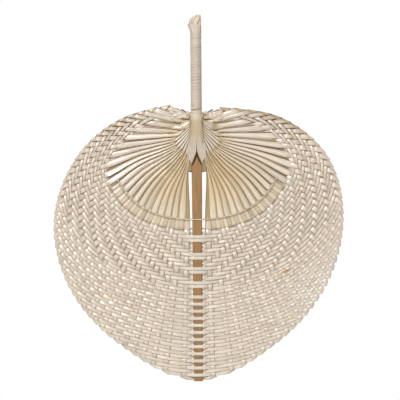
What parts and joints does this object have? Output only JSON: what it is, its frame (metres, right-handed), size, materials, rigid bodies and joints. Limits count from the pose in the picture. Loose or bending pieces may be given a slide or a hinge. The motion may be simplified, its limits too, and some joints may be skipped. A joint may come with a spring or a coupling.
{
  "type": "woven hand fan",
  "caption": "Heart-shaped hand fan of folded bamboo strips woven across a bamboo spine slat, with a strip-wrapped handle.",
  "frame": {"origin": "middle of the hand grip, on the handle's axis", "axes": "+Z along the handle away from the blade, +X across the blade, -Y out of the blade's front face"},
  "size_m": [0.2931, 0.0122, 0.3664],
  "materials": {
    "strip": "satin cream bamboo strip with fine fibres",
    "gather": "satin cream bamboo strip, pleated",
    "spine": "smooth brown bamboo with fine fibres",
    "wrap": "satin pale bamboo strip",
    "strand": "dull golden fibre"
  },
  "bodies": {
    "root": {"spine_slat": "spine", "strip_01": "strip", "strip_02": "strip", "strip_03": "strip", "strip_04": "strip", "strip_05": "strip", "strip_06": "strip", "strip_07": "strip", "strip_08": "strip", "strip_09": "strip", "strip_10": "strip", "strip_11": "strip", "strip_12": "strip", "strip_13": "strip", "strip_14": "strip", "strip_15": "strip", "strip_16": "strip", "strip_17": "strip", "strip_18": "strip", "strip_19": "strip", "strip_20": "strip", "strip_21": "strip", "strip_22": "strip", "strip_23": "strip", "strip_24": "strip", "strip_25": "strip", "strip_26": "strip", "strip_27": "strip", "strip_28": "strip", "strip_29": "strip", "strip_30": "strip", "strip_31": "strip", "strip_32": "strip", "strip_33": "strip", "strip_34": "strip", "strip_35": "strip", "strip_36": "strip", "strip_37": "strip", "strip_38": "strip", "strip_39": "strip", "strip_40": "strip", "strip_41": "strip", "strip_42": "strip", "row_strand": "strand", "lock_strand": "strand", "neck_strand": "strand", "neck_gather_left": "gather", "neck_gather_right": "gather", "handle_bundle_left": "gather", "handle_bundle_right": "gather", "handle_wrap": "wrap", "end_band": "wrap"}
  },
  "joints": []
}
